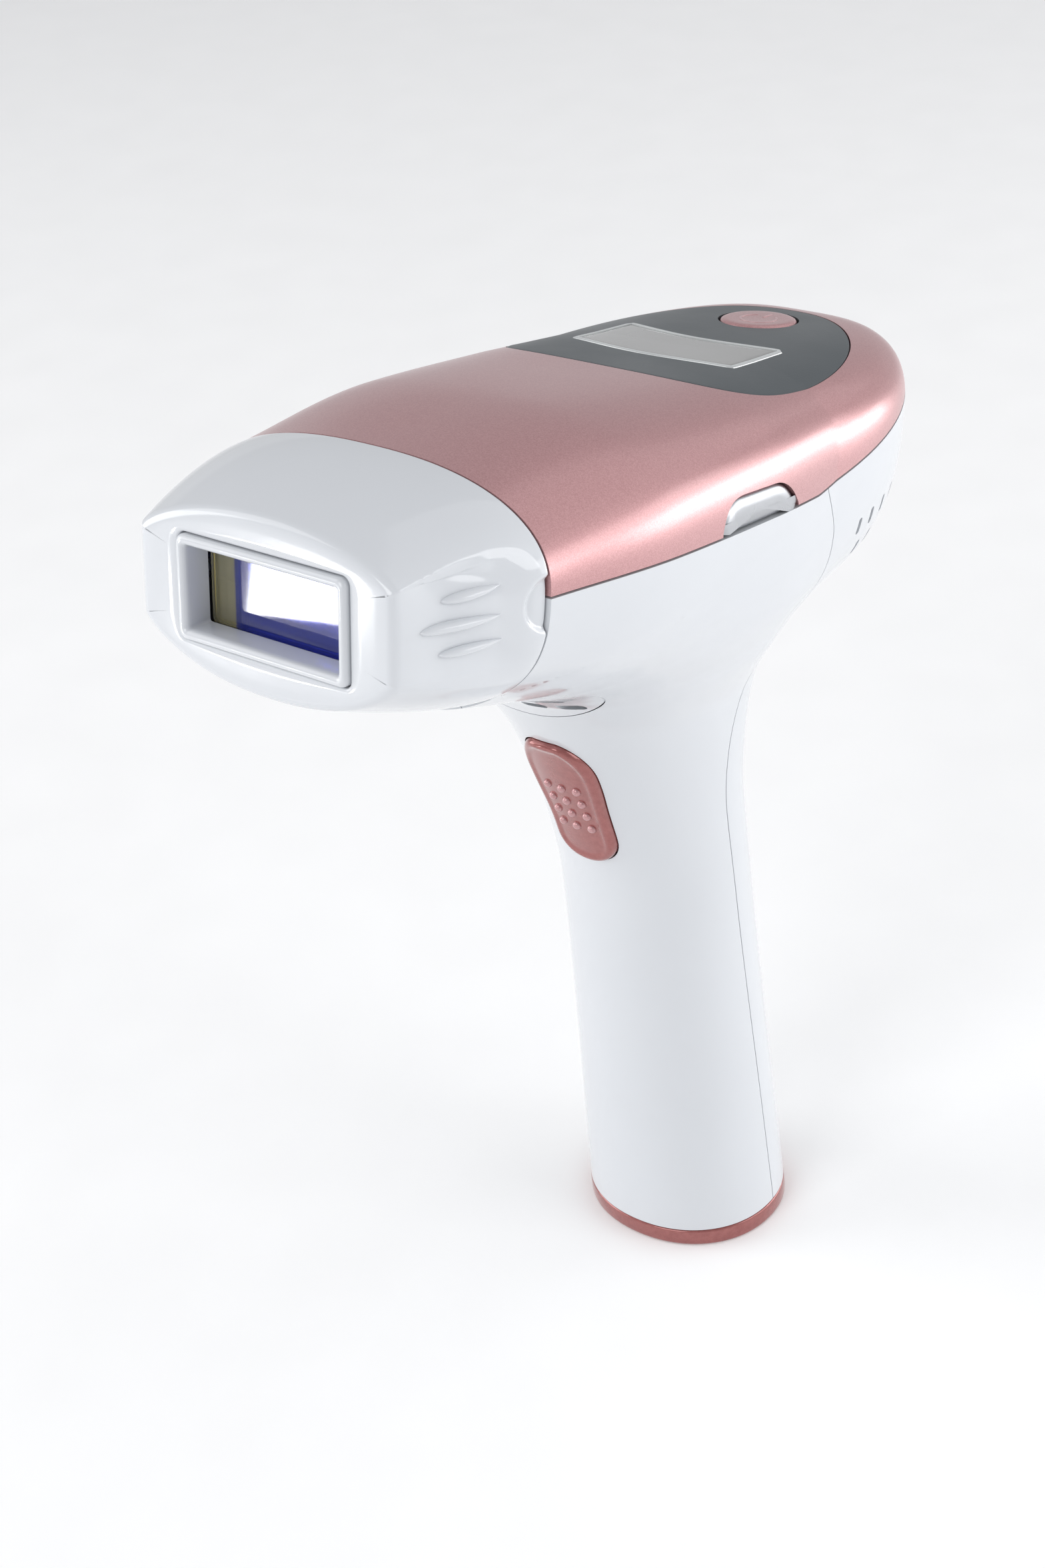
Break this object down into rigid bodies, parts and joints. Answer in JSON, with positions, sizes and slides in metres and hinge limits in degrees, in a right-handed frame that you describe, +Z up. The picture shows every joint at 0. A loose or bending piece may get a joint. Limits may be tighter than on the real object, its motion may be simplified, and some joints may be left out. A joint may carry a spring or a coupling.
{
  "type": "ipl hair remover",
  "caption": "Pistol-grip light hair remover: pull-off lamp cartridge, rose cover with display and power button, trigger, cooling fan and foot ring.",
  "frame": {"origin": "middle of the flat foot of the grip, on the underside of the foot plate", "axes": "+Z up along the grip, -Y the way the lamp window faces, +X on the left of whoever holds it; the head tips up by about 11 degrees"},
  "size_m": [0.0778, 0.1569, 0.1955],
  "materials": {
    "white_shell": "glossy white moulded plastic",
    "rose_paint": "pearl rose lacquer with a fine metallic sparkle",
    "rose_gloss": "glossy rose lacquer on moulded plastic",
    "slate_panel": "satin slate plastic",
    "silver_trim": "satin chrome on plastic",
    "display_lens": "smoked clear lens",
    "filter": "blue interference coating on glass",
    "gold_reflector": "gold-coated mirror",
    "lamp_glass": "clear quartz",
    "dark_plastic": "black moulded plastic",
    "circuit_board": "green solder mask",
    "steel": "plain steel",
    "fins": "milled aluminium",
    "sleeve": "dark shrink sleeve"
  },
  "bodies": {
    "body": {"front_shell": "white_shell", "rear_shell": "white_shell", "neck_grille": "white_shell", "base_plate": "white_shell", "top_cover": "rose_paint", "base_ring": "rose_gloss", "control_panel": "slate_panel", "side_trim_left": "silver_trim", "side_trim_right": "silver_trim", "lcd_trim": "silver_trim", "lcd_lens": "display_lens", "cartridge_socket": "dark_plastic", "fan_frame": "dark_plastic", "lcd_module": "dark_plastic", "power_switch": "dark_plastic", "trigger_switch": "dark_plastic", "dc_inlet": "dark_plastic", "trigger_spring": "steel", "heat_sink": "fins", "ignition_coil": "sleeve", "flash_capacitor": "sleeve", "main_board": "circuit_board", "button_board": "circuit_board", "trigger_board": "circuit_board", "board_screw_1": "steel", "board_screw_2": "steel", "board_screw_3": "steel", "board_screw_4": "steel", "base_screw_1": "steel", "base_screw_2": "steel"},
    "lamp_cartridge": {"cartridge_housing": "white_shell", "filter_glass": "filter", "reflector": "gold_reflector", "lamp_tube": "lamp_glass", "electrode_left": "steel", "electrode_right": "steel", "cartridge_plate": "dark_plastic", "cartridge_plug": "dark_plastic", "contact_spring_left": "steel", "contact_spring_right": "steel"},
    "contact_sensor": {"contact_frame": "white_shell"},
    "trigger": {"trigger_button": "rose_gloss"},
    "power_key": {"power_button": "rose_gloss"},
    "fan_wheel": {"fan_rotor": "dark_plastic"}
  },
  "joints": [
    {"name": "cartridge_pull", "type": "slide", "parent": "body", "child": "lamp_cartridge", "axis": [0, -0.9811, 0.1935], "range_m": [0, 0.03]},
    {"name": "contact_press", "type": "slide", "parent": "lamp_cartridge", "child": "contact_sensor", "axis": [0, 0.9811, -0.1935], "range_m": [0, 0.0008], "stiffness_N_per_m": 900, "springref_m": -0.0008},
    {"name": "trigger_press", "type": "slide", "parent": "body", "child": "trigger", "axis": [0, 0.9659, 0.2588], "range_m": [0, 0.0012], "stiffness_N_per_m": 1500, "springref_m": -0.001},
    {"name": "power_press", "type": "slide", "parent": "body", "child": "power_key", "axis": [0, -0.1935, -0.9811], "range_m": [0, 0.0008], "stiffness_N_per_m": 1500, "springref_m": -0.001},
    {"name": "fan_spin", "type": "hinge", "parent": "body", "child": "fan_wheel", "pos_m": [0, -0.04191, 0.17043], "axis": [0, 0.9811, -0.1935], "continuous": true}
  ]
}
